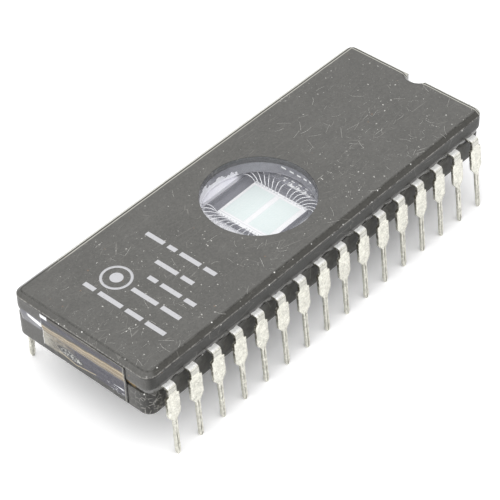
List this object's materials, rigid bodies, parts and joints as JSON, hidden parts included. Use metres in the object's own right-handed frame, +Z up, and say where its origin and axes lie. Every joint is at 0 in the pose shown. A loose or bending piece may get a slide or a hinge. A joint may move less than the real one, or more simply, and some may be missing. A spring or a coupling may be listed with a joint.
{
  "type": "eprom chip",
  "caption": "Ceramic dual in-line memory chip: bevelled lid with a round glass window over the die and bond wires, glass-sealed base, and bent tinned leads along both sides.",
  "frame": {"origin": "on the floor that the lead tips stand on, below the middle of the package", "axes": "+X along the body towards the end with the index notch, +Y across it towards the row with lead 1, +Z up through the window"},
  "size_m": [0.042, 0.0173, 0.0093],
  "materials": {
    "ceramic": "matt, pressed alumina",
    "seal_glass": "glossy, opaque, fired",
    "window_glass": "polished",
    "die_attach": "satin",
    "silicon": "polished wafer with thin-film colours",
    "tinned_lead": "dull tin",
    "end_film": "glossy film over tan adhesive"
  },
  "bodies": {
    "root": {"ceramic_base": "ceramic", "ceramic_lid": "ceramic", "seal_glass": "seal_glass", "window_lens": "window_glass", "silicon_die": "silicon", "die_attach": "die_attach", "end_film": "end_film", "lead_01": "tinned_lead", "lead_02": "tinned_lead", "lead_03": "tinned_lead", "lead_04": "tinned_lead", "lead_05": "tinned_lead", "lead_06": "tinned_lead", "lead_07": "tinned_lead", "lead_08": "tinned_lead", "lead_09": "tinned_lead", "lead_10": "tinned_lead", "lead_11": "tinned_lead", "lead_12": "tinned_lead", "lead_13": "tinned_lead", "lead_14": "tinned_lead", "lead_15": "tinned_lead", "lead_16": "tinned_lead", "lead_17": "tinned_lead", "lead_18": "tinned_lead", "lead_19": "tinned_lead", "lead_20": "tinned_lead", "lead_21": "tinned_lead", "lead_22": "tinned_lead", "lead_23": "tinned_lead", "lead_24": "tinned_lead", "lead_25": "tinned_lead", "lead_26": "tinned_lead", "lead_27": "tinned_lead", "lead_28": "tinned_lead", "lead_29": "tinned_lead", "lead_30": "tinned_lead", "lead_31": "tinned_lead", "lead_32": "tinned_lead"}
  },
  "joints": []
}
